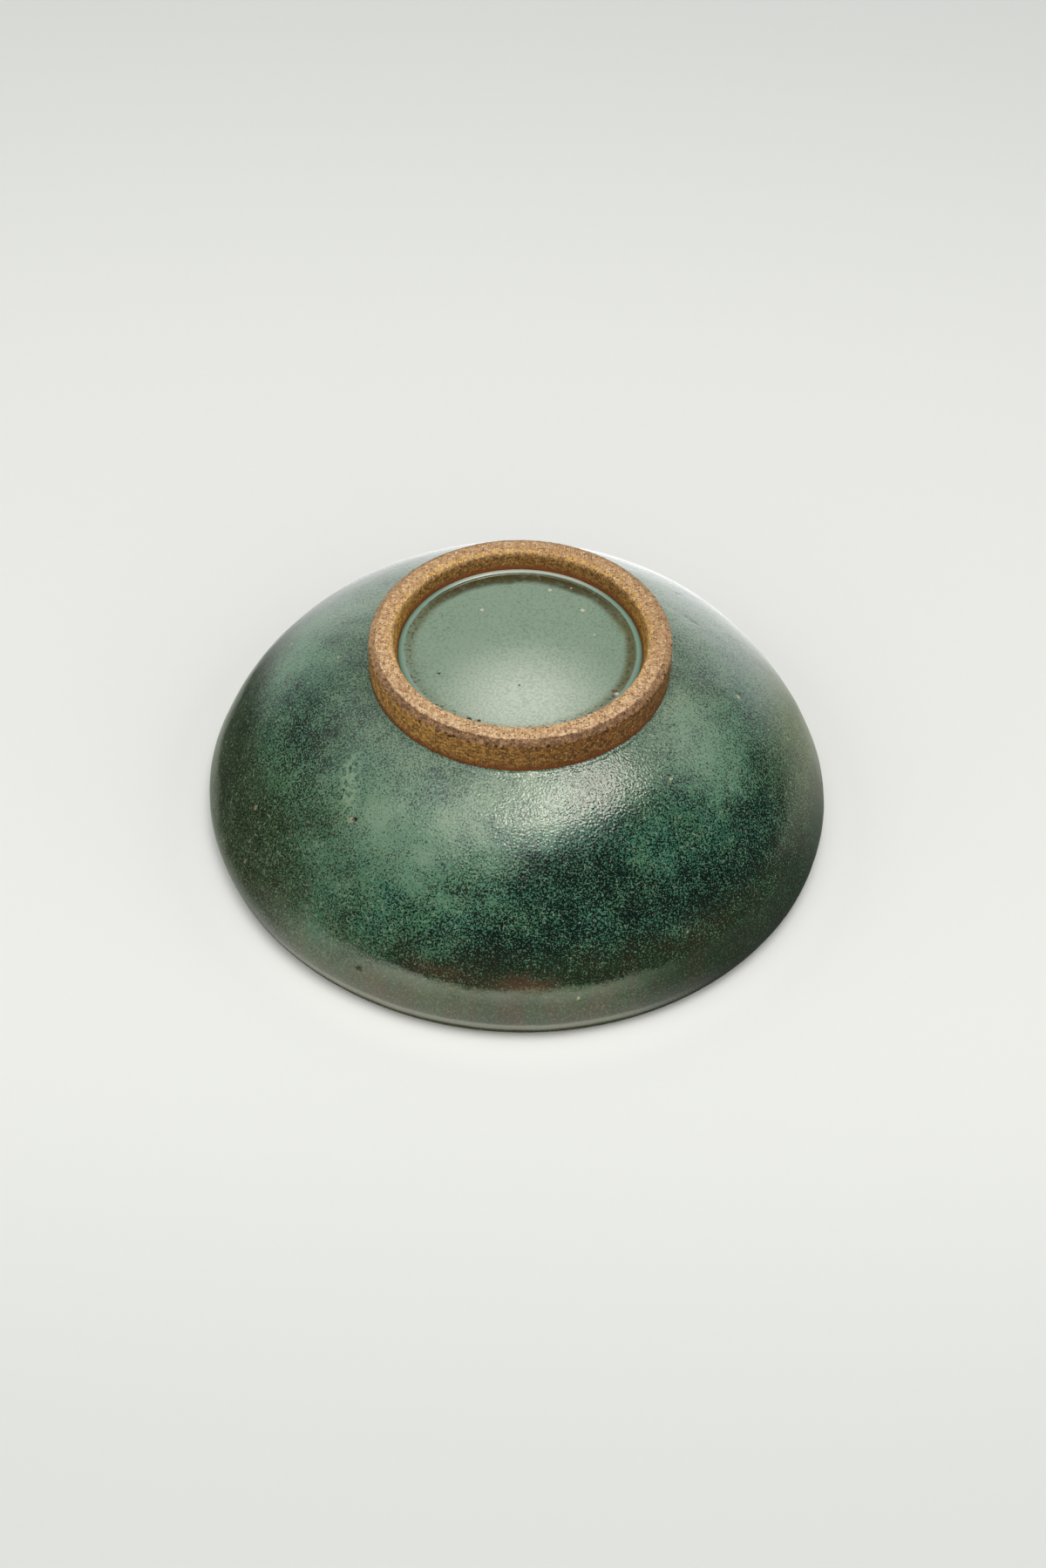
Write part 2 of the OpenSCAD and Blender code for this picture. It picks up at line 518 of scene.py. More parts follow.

# %% [markdown]
# ## Marks placed one by one
#
# A few burst bubbles, chips and iron spots are large enough to be known by their place. The next tree
# sets one such mark: it sinks or lifts the skin round a centre, and it leaves the same two values on the
# mesh as the strewn marks. It runs once for each mark, so a piece carries a short list of them.

# %% Tree that sets one mark
def mark_tree():
    tree, given, out = geometry_tree("mark by hand", [
        ("Centre", "Vector", (0, 0, 0)), ("Radius", "Float", 0.8 * MM), ("Height", "Float", 0.0),
        ("Strength", "Float", 1.0), ("Tone", "Float", 0.0)])
    skin, pit, tone = (held(tree, name) for name in ("skin", "pit", "pit_tone"))
    away = put(tree, "ShaderNodeVectorMath", {0: place_of(tree), 1: given["Centre"]},
               operation="DISTANCE").outputs["Value"]
    shape = times(tree, dome(tree, away, given["Radius"]), skin)
    mark = times(tree, shape, given["Strength"])
    change = times(tree, calc(tree, "GREATER_THAN", mark, pit), minus(tree, given["Tone"], tone))
    toned = stored(tree, given["Geometry"], "pit_tone", total(tree, tone, change))
    marked = stored(tree, toned, "pit", largest(tree, mark, pit))
    moved = pushed(tree, marked, times(tree, shape, given["Height"]))
    return finished(tree, {"Geometry": moved}, out)


def by_hand(bearing, reach, level, radius, height, tone, strength=1.0):
    """A mark at a bearing in degrees, from the front to the right.

    Its radius and height are in millimetres. Its tone is dark at 0, brown in the middle and pale at 1.
    """
    turn = math.radians(bearing)
    centre = (reach * math.sin(turn), -reach * math.cos(turn), level)
    return hand_mark, {"Centre": centre, "Radius": radius * MM, "Height": height * MM, "Tone": tone,
                       "Strength": strength}


hand_mark = mark_tree()

# %% [markdown]
# ## The glaze line at the foot
#
# Glaze ran down to the foot ring while the bowl stood upright, and it stopped there in a low, ragged
# roll. The tree lifts the last two millimetres of the coat, and noise that changes along the line makes
# its teeth.

# %% Tree that rolls the glaze's edge
def glaze_line_tree():
    tree, given, out = geometry_tree("glaze line", [
        ("Foot Radius", "Float", foot_r),
        ("Roll Width", "Float", 1.6 * MM), ("Roll Height", "Float", 0.2 * MM),
        ("Tooth Size", "Float", 1.6 * MM), ("Tooth Height", "Float", 0.4 * MM)])
    x, y, _ = xyz(tree, place_of(tree))
    gap = ratio(tree, minus(tree, reach_of(tree, x, y), given["Foot Radius"]), given["Roll Width"])
    around = put(tree, "ShaderNodeCombineXYZ", {0: x, 1: y}).outputs[0]
    roll = times(tree, fade(tree, gap, 1.0, 0.25), given["Roll Height"])
    teeth = times(tree, swing(tree, around, given["Tooth Size"], 1.0, 2.0, 0.6),
                  fade(tree, gap, 0.5, 0.0), given["Tooth Height"])
    lift = times(tree, total(tree, roll, teeth), held(tree, "skin"))
    offset = put(tree, "ShaderNodeCombineXYZ", {2: lift}).outputs[0]
    return finished(tree, {"Geometry": shifted(tree, given["Geometry"], offset)}, out)


glaze_line = glaze_line_tree()

# %% [markdown]
# ## Set down by hand
#
# The foot of this bowl is a little off its middle and leans: its right side stands higher than its left.
# Every piece goes through the same last tree, which moves a point by its height and its side alone, so
# the coats stay on the clay. The same tree smooths the shading and sets the material.

# %% Tree that leans the foot and finishes a piece
foot_shift = -0.74 * MM
foot_lean = 0.0202


def finish_tree():
    tree, given, out = geometry_tree("set down by hand", [
        ("Foot Height", "Float", glaze_line_z), ("Foot Shift", "Float", 0.0), ("Foot Lean", "Float", 0.0),
        ("Material", "Material", None)])
    x, _, z = xyz(tree, place_of(tree))
    climb = calc(tree, "DIVIDE", z, given["Foot Height"], use_clamp=True)
    lean = times(tree, calc(tree, "POWER", climb, 3.0), x, given["Foot Lean"])
    slide = times(tree, climb, given["Foot Shift"])
    offset = put(tree, "ShaderNodeCombineXYZ", {0: slide, 2: lean}).outputs[0]
    moved = shifted(tree, given["Geometry"], offset)
    real = put(tree, "GeometryNodeRealizeInstances", {0: moved}).outputs[0]
    smooth = put(tree, "GeometryNodeSetShadeSmooth", {0: real}).outputs[0]
    painted = put(tree, "GeometryNodeSetMaterial", {
        "Geometry": smooth, "Material": given["Material"]}).outputs[0]
    return finished(tree, {"Geometry": painted}, out)


set_down = finish_tree()
print("foot shift", foot_shift / MM, "mm, lean", round(math.degrees(foot_lean), 2), "degrees")

# %% [markdown]
# ## Making a piece
#
# `turned_piece` starts an object from section points, runs it through a list of trees and keeps the
# result as a plain mesh. Signed volume tells whether the faces point outwards: it is positive on a closed
# shell that does.

# %% Make a piece from a section and trees
def run_tree(obj, tree, values):
    """Adds a tree as a modifier and sets its inputs by their identifiers."""
    modifier = obj.modifiers.new(tree.name, "NODES")
    modifier.node_group = tree
    for item in tree.interface.items_tree:
        if item.in_out == "INPUT" and item.name in values:
            modifier[item.identifier] = values[item.name]


def measured(mesh):
    """A line on a mesh: its triangles, its open edges and its signed volume."""
    shell = bmesh.new()
    shell.from_mesh(mesh)
    open_edges = sum(not edge.is_manifold for edge in shell.edges)
    triangles = sum(len(face.verts) - 2 for face in shell.faces)
    volume = shell.calc_volume(signed=True) / MM**3
    shell.free()
    return f"{triangles} triangles, {open_edges} open edges, volume {volume:.0f} cubic millimetres"


def turned_piece(name, section, skin, material, steps, marks=()):
    """A piece turned from a section. marks lists further (tree, inputs) to run before the finish."""
    mesh = bpy.data.meshes.new(name)
    points = [(radius, 0, height) for radius, height in section]
    mesh.from_pydata(points, [(i, i + 1) for i in range(len(points) - 1)], [])
    mesh.attributes.new("skin", "FLOAT", "POINT").data.foreach_set("value", np.array(skin, np.float32))
    obj = bpy.data.objects.new(name, mesh)
    scene.collection.objects.link(obj)
    run_tree(obj, wheel, {"Steps Around": steps})
    for tree, values in marks:
        run_tree(obj, tree, values)
    run_tree(obj, set_down, {"Foot Shift": foot_shift, "Foot Lean": foot_lean, "Material": material})
    graph = bpy.context.evaluated_depsgraph_get()
    evaluated = obj.evaluated_get(graph)
    result = bpy.data.meshes.new_from_object(evaluated, preserve_all_data_layers=True, depsgraph=graph)
    obj.modifiers.clear()
    obj.data = result
    result.name = name
    print(name + ":", measured(result))
    return obj


# %% [markdown]
# ## Curdled green glaze
#
# Copper glaze that cools slowly curdles: fine pale-green flecks lie in a glass that is nearly black where
# it is deep. Where the coat is thick or milky the flecks close up. The group below is shared by all four
# coats. It takes the share of flecks from the material, so each coat can set its own zones, and gives
# back a colour, a roughness and the height of the fine orange-peel surface.

# %% Helpers for shader groups
def colour(red, green, blue):
    """A colour as seen on a screen, 0 to 255, turned into the linear values that shaders use."""
    shares = [value / 255 for value in (red, green, blue)]
    linear = [share / 12.92 if share <= 0.04045 else ((share + 0.055) / 1.055) ** 2.4 for share in shares]
    return (*linear, 1.0)


def shader_group(name, inputs):
    """A group that takes a place and gives back a colour, a roughness and a height."""
    outputs = [("Colour", "Color"), ("Roughness", "Float"), ("Height", "Float")]
    return new_tree(name, "ShaderNodeTree", [("Where", "Vector", None), *inputs], outputs)


def cells(tree, where, size):
    """Cells about size metres across: a random tone for each, and the distance from its middle."""
    found = put(tree, "ShaderNodeTexVoronoi", {"Vector": where, "Scale": ratio(tree, 1.0, size)}).outputs
    return xyz(tree, found["Color"])[0], found["Distance"]


def stretched(tree, vector, factors):
    """A place stretched along the axes, so that noise there comes out long or flat."""
    return put(tree, "ShaderNodeVectorMath", {0: vector, 1: factors}, operation="MULTIPLY").outputs[0]


# %% Shared group for the glazes
def curdled_group():
    tree, given, out = shader_group("curdled glaze", [
        ("Fleck Size", "Float", 0.4 * MM), ("Cover", "Float", 0.5), ("Deep", "Color", colour(13, 25, 20)),
        ("Fleck", "Color", colour(64, 106, 86)), ("Milk", "Color", colour(128, 152, 124)),
        ("Milkiness", "Float", 0.0), ("Specks", "Float", 0.9), ("Peel Size", "Float", 0.55 * MM),
        ("Gloss", "Float", 0.05)])
    where = given["Where"]
    size = given["Fleck Size"]
    milkiness = given["Milkiness"]
    grain = noise(tree, where, size, 1.5, 0.6, 0.4)
    limit = scaled(tree, given["Cover"], -0.5, 0.75)
    fleck = fade(tree, grain, minus(tree, limit, 0.07), total(tree, limit, 0.07))
    pale = fade(tree, noise(tree, where, times(tree, size, 2.4), 1.0), 0.48, 0.72, 0.0, 0.5)
    light = mix(tree, largest(tree, milkiness, pale), given["Fleck"], given["Milk"])
    haze = calc(tree, "MULTIPLY", milkiness, 0.38, use_clamp=True)
    cloudy = mix(tree, haze, given["Deep"], given["Fleck"])
    drift = fade(tree, noise(tree, where, times(tree, size, 10.0)), 0.3, 0.65, 0.1, 0.3)
    veil = calc(tree, "MULTIPLY", milkiness, drift, use_clamp=True)
    tone, away = cells(tree, where, 1.7 * MM)
    speck = times(tree, fade(tree, away, 0.24, 0.1), fade(tree, tone, 0.5, 1.0, 0.0, given["Specks"]))
    shown = washed(tree, cloudy, (fleck, light), (veil, given["Milk"]), (speck, colour(30, 40, 32)))
    roughness = scaled(tree, grain, 0.06, given["Gloss"])
    peel = noise(tree, where, given["Peel Size"], 0.0)
    return finished(tree, {"Colour": shown, "Roughness": roughness, "Height": peel}, out)


curdled = curdled_group()


# %% Helpers for materials
glassy = {"IOR": 1.66}


def new_material(name, finish):
    """A material with an empty tree, its shader with fixed values, and the piece's own coordinates."""
    material = bpy.data.materials.new(name)
    material.use_nodes = True
    tree = material.node_tree
    tree.nodes.clear()
    shader = put(tree, "ShaderNodeBsdfPrincipled", finish)
    tree.links.new(shader.outputs[0], put(tree, "ShaderNodeOutputMaterial").inputs[0])
    print("material:", name)
    return material, tree, shader, put(tree, "ShaderNodeTexCoord").outputs["Object"]


def dress(tree, shader, group, depth, shown=None, share=1.0):
    """Links a group to the shader, with its height as a bump. Another colour may replace its own."""
    tree.links.new(shown or group.outputs["Colour"], shader.inputs["Base Color"])
    tree.links.new(group.outputs["Roughness"], shader.inputs["Roughness"])
    height = times(tree, group.outputs["Height"], share)
    bump = put(tree, "ShaderNodeBump", {"Distance": depth, "Height": height})
    tree.links.new(bump.outputs[0], shader.inputs["Normal"])


def soft_spot(tree, where, centre, size, full=0.9):
    """A soft spot: 1 near a centre and 0 at size away from it."""
    sockets = {"Vector": where, "Location": centre, "Scale": size}
    moved = put(tree, "ShaderNodeMapping", sockets, vector_type="TEXTURE").outputs[0]
    ball = put(tree, "ShaderNodeTexGradient", {0: moved}, gradient_type="SPHERICAL").outputs[1]
    return fade(tree, ball, 0.0, full)


def patch(tree, where, centre, size):
    """The same spot, with its centre and size (x, y, z) in millimetres."""
    return soft_spot(tree, where, Vector(centre) * MM, Vector(size) * MM)


def astray(tree, where, size, amount):
    """The same place, pushed about by slow noise, so that a soft spot has no plain outline."""
    sockets = {"Vector": where, "Scale": 1 / size, "Detail": 2.0}
    sway = put(tree, "ShaderNodeTexNoise", sockets).outputs["Color"]
    push = put(tree, "ShaderNodeVectorMath", {0: sway, 1: (amount,) * 3, 2: (-amount / 2,) * 3},
               operation="MULTIPLY_ADD").outputs[0]
    return put(tree, "ShaderNodeVectorMath", {0: where, 1: push}, operation="ADD").outputs[0]


def attribute(tree, name):
    """A value that a Geometry Nodes tree left on the mesh."""
    return put(tree, "ShaderNodeAttribute", attribute_name=name).outputs["Fac"]


def mark_colour(tree, dark, brown, pale):
    """The colour inside a mark, by its tone: dark, brown or pale."""
    tone = attribute(tree, "pit_tone")
    return washed(tree, dark, (fade(tree, tone, 0.15, 0.3), brown), (fade(tree, tone, 0.6, 0.75), pale))


print("glaze index of refraction", glassy["IOR"])

# %% [markdown]
# ## The outer coat's colours
#
# Seen from the front, the coat is pale and milky beside the foot, darkest on the middle of the wall, and
# olive towards the lip, where it ran thin and left a smooth band. These zones come from height, from slow
# noise and from a few soft patches that are listed one by one, because a kiln leaves no rule for them. A
# patch on pushed-about coordinates gets a ragged outline, and one on plain coordinates stays where it is
# put.
# The pale milk beside the foot is partly the glaze's own milk and partly painted reflection and painted
# highlight.

# %% Zones of the outer coat
# Each zone has a centre and a size in millimetres, the flecks that it adds and the milk that it adds. The
# milk that the zones add beside the foot is partly the glaze's own milk and partly painted reflection; in
# front it is partly a painted highlight, and the small pale zone at the right of the foot is painted sheen.
ragged_zones = {
    "left milk and painted reflection": ((-35, -44, 38), (30, 27, 20), 0.13, 0.26),
    "right milk and painted reflection": ((46, -20, 43), (22, 20, 15), 0.18, 0.12),
    "front milk and painted highlight": ((-8, -46, 43), (26, 18, 13), 0.16, 0.6),
    "left low": ((-16, -58, 35), (28, 22, 16), 0.2, 0.12),
    "left front": ((-38, -62, 21), (30, 20, 16), 0.18, 0.0),
    "left olive": ((-60, -44, 17), (46, 56, 36), 0.14, 0.0),
    "left wall": ((-54, -24, 35), (22, 34, 16), -0.06, 0.0),
    "left back": ((-54, 14, 37), (24, 34, 16), 0.12, 0.0),
    "right wall": ((36, -45, 38), (18, 16, 12), 0.1, 0.0),
    "right painted sheen": ((39, -11, 46), (9, 15, 9), 0.0, 0.45),
}
plain_zones = {
    "left gap": ((-19, -43.5, 43.5), (9, 7, 6), -0.12, -0.3),
    "left pale": ((-32, -42, 39), (10, 14, 9), 0.16, 0.3),
    "right dark": ((72, -34, 14), (34, 44, 24), 0.05, 0.0),
}


def coat_zones(tree, where):
    """The mask of each zone by its name, and the flecks and the milk that all of them add."""
    swayed = astray(tree, where, 12 * MM, 32 * MM)
    masks = {}
    flecks = []
    milk = []
    for place, zones in ((swayed, ragged_zones), (where, plain_zones)):
        for name, (centre, size, more_flecks, more_milk) in zones.items():
            masks[name] = patch(tree, place, centre, size)
            flecks.append(times(tree, masks[name], more_flecks))
            milk.append(times(tree, masks[name], more_milk))
    return masks, total(tree, *flecks), total(tree, *milk)


def lip_band(tree, where):
    """The smooth band above the lip, and the paler seam along its ragged upper edge."""
    x, _, z = xyz(tree, where)
    ragged = total(tree, swing(tree, where, 7 * MM, 2.6 * MM), swing(tree, where, 0.7 * MM, 2 * MM, 1.0))
    level = total(tree, z, ragged)
    melted = fade_mm(tree, x, -22, -48)
    top = scaled(tree, melted, 7 * MM, 16.2 * MM)
    full = scaled(tree, melted, -9 * MM, 14.6 * MM)
    band = times(tree, fade(tree, level, top, full), fade_mm(tree, x, -64, -44, 0.5, 1.0))
    seam = times(tree, band, fade_mm(tree, level, 11, 14.4, 0.0, 0.35), near(tree, x, 0.0, 44 * MM, 26 * MM))
    return band, seam


print("zones of the outer coat:", len(ragged_zones) + len(plain_zones))


# %% Colours of the outer coat
def coat_colours(tree, where, masks, olive, right_side):
    """The colours of the deep glass and of the flecks in it."""
    x, _, z = xyz(tree, where)
    hue = fade(tree, noise(tree, where, 9 * MM, 2.0, 0.6), 0.4, 0.62)
    teal = mix(tree, hue, colour(62, 112, 90), colour(69, 112, 85))
    # The flecks are lighter in the right milk zone, and a little in the left low zone, partly as painted
    # reflection.
    bright = largest(tree, masks["right milk and painted reflection"], times(tree, masks["left low"], 0.4))
    brightest = times(tree, largest(tree, masks["left wall"], masks["left back"]), 0.8)
    teal = washed(tree, teal, (bright, colour(86, 128, 102)), (brightest, colour(98, 142, 110)))
    runs = stretched(tree, where, (1.0, 1.0, 0.35))
    browned = fade(tree, noise(tree, runs, 6 * MM, 2.0, 0.6), 0.4, 0.62)
    deep_olive = mix(tree, browned, colour(48, 61, 32), colour(62, 56, 32))
    fleck_olive = mix(tree, browned, colour(63, 80, 45), colour(75, 73, 44))
    dusky = times(tree, fade_mm(tree, x, -48, -62), fade_mm(tree, z, 38, 24, 0.0, 0.8))
    warm = times(tree, right_side, fade_mm(tree, z, 44, 22, 0.0, 0.8), fade_mm(tree, z, 8, 20, 0.5, 1.0))
    wavy = astray(tree, where, 4 * MM, 6 * MM)
    brown = largest(tree, patch(tree, wavy, (5, -76, 16), (13, 12, 4.6)),
                    times(tree, patch(tree, wavy, (-17, -74, 17), (11, 10, 3.2)), 0.7))
    deep = washed(tree, colour(10, 22, 17), (olive, deep_olive), (dusky, colour(22, 28, 12)),
                  (warm, colour(52, 60, 34)), (brown, colour(62, 48, 34)))
    fleck = washed(tree, teal, (olive, fleck_olive), (dusky, colour(56, 74, 44)),
                   (warm, colour(112, 122, 80)), (times(tree, brown, 0.8), colour(94, 84, 62)))
    return deep, fleck


# %% Material of the outer coat
def outer_glaze_material():
    material, tree, shader, where = new_material("green_coat", glassy)
    x, y, z = xyz(tree, where)
    climb = ratio(tree, z, glaze_line_z)
    masks, zone_flecks, zone_milk = coat_zones(tree, where)
    band, seam = lip_band(tree, where)
    left_side = times(tree, fade_mm(tree, x, -42, -68), fade_mm(tree, y, -50, 0))
    right_side = times(tree, fade_mm(tree, x, 42, 68), fade_mm(tree, y, -35, 5))
    streak = times(tree, patch(tree, where, (-40, -36, 40.5), (4.0, 13, 9)),
                   fade(tree, noise(tree, where, 1.4 * MM, 1.0), 0.42, 0.58))
    cover = total(tree, scaled(tree, climb, 0.31, 0.18), swing(tree, where, 14 * MM, 0.4, 2.0, 0.55),
                  swing(tree, where, 4.5 * MM, 0.3), zone_flecks, fade_mm(tree, y, -5, 40, 0.0, 0.15),
                  times(tree, left_side, 0.12), times(tree, right_side, 0.16), times(tree, streak, 0.26),
                  times(tree, band, fade_mm(tree, x, 10, 60, 0.2, 0.0)))
    # Painted light: the milk beside the foot and along the pale streak at the left is partly the glaze's own
    # milk and partly painted reflection and painted highlight.
    milkiness = total(tree, fade(tree, climb, 0.82, 1.0, 0.0, 0.42), zone_milk,
                      fade_mm(tree, y, -5, 35, 0.0, 0.26), times(tree, streak, 0.6))
    sides = times(tree, total(tree, left_side, right_side), fade_mm(tree, z, 34, 18, 0.0, 0.7))
    olive = largest(tree, times(tree, band, fade_mm(tree, x, 10, 65, 1.0, 0.35)),
                    times(tree, masks["left olive"], 0.45), fade_mm(tree, z, 27, 17, 0.0, 0.35), sides)
    deep, fleck = coat_colours(tree, where, masks, olive, right_side)
    milk = mix(tree, band, colour(134, 153, 125), colour(104, 112, 84))
    group = put(tree, "ShaderNodeGroup", {
        "Where": where, "Cover": cover, "Deep": deep, "Fleck": fleck, "Milk": milk, "Milkiness": milkiness},
        node_tree=curdled)
    # Painted sheen: the smooth band is washed paler towards the left and in fine pale dots.
    dots = fade(tree, noise(tree, where, 0.5 * MM, 0.0), 0.62, 0.74, 0.0, 0.22)
    painted_sheen = times(tree, band, total(tree, fade_mm(tree, x, 4, -34, 0.0, 0.1), dots))
    smooth = times(tree, band, fade_mm(tree, x, 22, 42, 0.0, 0.42))
    pit = fade(tree, attribute(tree, "pit"), 0.25, 0.8)
    inside = mark_colour(tree, colour(30, 34, 26), colour(74, 52, 34), colour(168, 158, 124))
    # The pale line just above the lip in front is partly thin glaze over the pale lip and partly a painted
    # reflection of the bright table.
    edge = times(tree, fade_mm(tree, z, 3.2, 4.2), fade_mm(tree, z, 6.4, 5.2),
                 fade_mm(tree, x, -68, -50, 0.0, 0.36), fade_mm(tree, x, 52, 20))
    shown = washed(tree, group.outputs["Colour"], (seam, colour(116, 128, 106)),
                   (painted_sheen, colour(138, 138, 108)), (smooth, colour(40, 54, 44)), (pit, inside),
                   (edge, colour(186, 188, 170)))
    dress(tree, shader, group, depth=0.085 * MM, shown=shown, share=fade_mm(tree, z, 16, 36, 0.15, 1.0))
    return material


green_coat = outer_glaze_material()

# %% [markdown]
# ## Plain coats on the lip and inside
#
# The coat on the lip is thin and greyish, because the clay shows through it. Inside, the same green pools
# towards the floor, so flecks and milk grow with depth. Neither needs zones of its own.

# %% Materials of the lip coat and the inner coat
def lip_glaze_material():
    material, tree, shader, where = new_material("lip_coat", glassy)
    group = put(tree, "ShaderNodeGroup", {
        "Where": where, "Cover": 0.45, "Deep": colour(102, 100, 88), "Fleck": colour(126, 124, 110)},
        node_tree=curdled)
    dress(tree, shader, group, depth=0.02 * MM)
    return material


def inner_glaze_material():
    material, tree, shader, where = new_material("inner_coat", glassy)
    pool = fade(tree, xyz(tree, where)[2], 0.3 * floor_z, floor_z)
    cover = total(tree, times(tree, pool, 0.25), scaled(tree, noise(tree, where, 18 * MM), 0.5, 0.05))
    group = put(tree, "ShaderNodeGroup", {
        "Where": where, "Cover": cover, "Milkiness": times(tree, pool, 0.3)}, node_tree=curdled)
    dress(tree, shader, group, depth=0.03 * MM)
    return material


lip_coat = lip_glaze_material()
inner_coat = inner_glaze_material()

# %% [markdown]
# ## The glaze in the foot's well
#
# Here the coat lies level and thick, so it is milky all over. It drew back from the hot ring and left a
# bead, pale and bluish, with a thin olive ring just inside it where the glass is shallow. The front of the
# pool is painted paler, partly as painted sheen, and the bead is painted whitish at the back as a painted
# highlight.

# %% Material of the well's glaze
def well_glaze_material():
    material, tree, shader, where = new_material("well_coat", glassy)
    x, y, _ = xyz(tree, where)
    x = minus(tree, x, foot_shift)
    inset = minus(tree, well_r, reach_of(tree, x, y))
    wander = total(tree, swing(tree, where, 9 * MM, 2.4 * MM), fade_mm(tree, y, 12, 26, 0.0, 1.2 * MM))
    ragged_inset = minus(tree, inset, wander)
    inward = fade_mm(tree, inset, 1.0, 1.8)
    side = fade_mm(tree, total(tree, times(tree, x, 0.5), y), -24, 8, 0.2, 1.0)
    blotch = fade(tree, noise(tree, where, 1.8 * MM, 2.0, 0.6), 0.32, 0.52, 0.75, 0.95)
    thin = times(tree, fade_mm(tree, ragged_inset, 5.0, 2.8), inward, blotch, side)
    dots = times(tree, fade(tree, noise(tree, where, 0.8 * MM, 0.0), 0.62, 0.7),
                 fade_mm(tree, ragged_inset, 4.5, 3.0), inward, 0.7)
    bead = fade_mm(tree, inset, 1.7, 1.1, 0.0, 0.85)
    # Partly painted sheen: the front of the pool is painted paler.
    well_pale_and_painted_sheen = times(tree, patch(tree, where, (1, -20, 52), (28, 29, 40)),
                  fade(tree, noise(tree, where, 0.6 * MM, 1.0), 0.3, 0.7, 0.55, 0.85))
    cover = scaled(tree, noise(tree, where, 12 * MM), 0.4, 0.42)
    group = put(tree, "ShaderNodeGroup", {
        "Where": where, "Fleck Size": 0.6 * MM, "Cover": cover, "Deep": colour(108, 131, 109),
        "Fleck": colour(131, 152, 130), "Milk": colour(136, 157, 134), "Milkiness": 0.6, "Specks": 0.3,
        "Peel Size": 1.2 * MM, "Gloss": 0.12}, node_tree=curdled)
    olive = mix(tree, fade_mm(tree, y, 8, 24), colour(86, 84, 38), colour(58, 54, 18))
    # The bead is bluish, and at the back it is painted whitish as a painted highlight.
    bead_tone_and_painted_highlight = mix(tree, fade_mm(tree, y, 18, 29), colour(122, 158, 139), colour(190, 197, 181))
    pit = fade(tree, attribute(tree, "pit"), 0.2, 0.7)
    inside = mark_colour(tree, colour(44, 52, 40), colour(96, 72, 46), colour(196, 192, 166))
    shown = washed(tree, group.outputs["Colour"], (well_pale_and_painted_sheen, colour(212, 220, 202)), (thin, olive),
                   (dots, colour(66, 44, 24)), (bead, bead_tone_and_painted_highlight), (pit, inside))
    dress(tree, shader, group, depth=0.01 * MM, shown=shown)
    return material


well_coat = well_glaze_material()

# %% [markdown]
# ## Grogged clay
#
# Bare stoneware with grog shows three things at once: a mottled body, pale and dark grains, and rust
# where iron gathered beside the glaze. The group does all three, and each clay piece gives it its own
# colours and its own mask of rust.

# %% Shared group for the clays
def grogged_group():
    tree, given, out = shader_group("grogged clay", [
        ("Body", "Color", colour(196, 160, 120)), ("Shade", "Color", colour(150, 112, 70)),
        ("Pale", "Color", colour(232, 206, 170)), ("Dark", "Color", colour(92, 64, 46)),
        ("Grains", "Float", 0.8), ("Grain Size", "Float", 0.6 * MM), ("Blotch Size", "Float", 1.1 * MM),
        ("Rust", "Float", 0.0), ("Rust Colour", "Color", colour(118, 62, 30))])
    where = given["Where"]
    blotch = noise(tree, stretched(tree, where, (1.0, 1.0, 1.4)), given["Blotch Size"], 3.0, 0.65)
    body = mix(tree, fade(tree, blotch, 0.38, 0.64), given["Shade"], given["Body"])
    fine = noise(tree, where, 0.4 * MM, 2.0, 0.6)
    tone, away = cells(tree, where, given["Grain Size"])
    core = fade(tree, away, 0.55, 0.3)
    pale = times(tree, core, fade(tree, tone, 0.68, 0.8), given["Grains"])
    dark = times(tree, core, fade(tree, tone, 0.36, 0.24), given["Grains"])
    grained = washed(tree, body, (pale, given["Pale"]), (dark, given["Dark"]))
    dust = fade(tree, fine, 0.25, 0.75, 0.66, 1.22)
    grey = put(tree, "ShaderNodeCombineColor", {channel: dust for channel in range(3)}).outputs[0]
    rusted = mix(tree, given["Rust"], mix(tree, 1.0, grained, grey, "MULTIPLY"), given["Rust Colour"])
    roughness = scaled(tree, fine, 0.2, 0.66)
    height = scaled(tree, core, minus(tree, tone, 0.4), fine)
    return finished(tree, {"Colour": rusted, "Roughness": roughness, "Height": height}, out)


grogged = grogged_group()

# %% [markdown]
# ## The bare foot ring
#
# The ring is palest on its landing, which was wiped clean, and browner down its walls. Its right side is
# darker, partly as painted shade away from the light at the left, and its rear inner wall is darker as
# painted shade. The bevel is darkest in front, a thin painted highlight runs along its crest there, the
# pits under the bevel are painted nearly black, partly as painted shade of the groove there, and rust
# follows the glaze on both sides.
# Masks for these places come from the distance to the axis and from the height, both made a little
# ragged.

# %% Material of the foot ring
matt = {"Specular IOR Level": 0.25}


def ring_tone(tree, masks, outer_wall, inner_wall, landing, bevel):
    """One tone all over the ring. The walls and the bevel have two colours, from one side to the other."""
    outer = mix(tree, masks["right"], *outer_wall)
    inner = mix(tree, masks["rear"], *inner_wall)
    return washed(tree, inner, (masks["outside"], outer), (masks["landing"], landing),
                  (masks["bevel"], mix(tree, masks["front"], *bevel)))


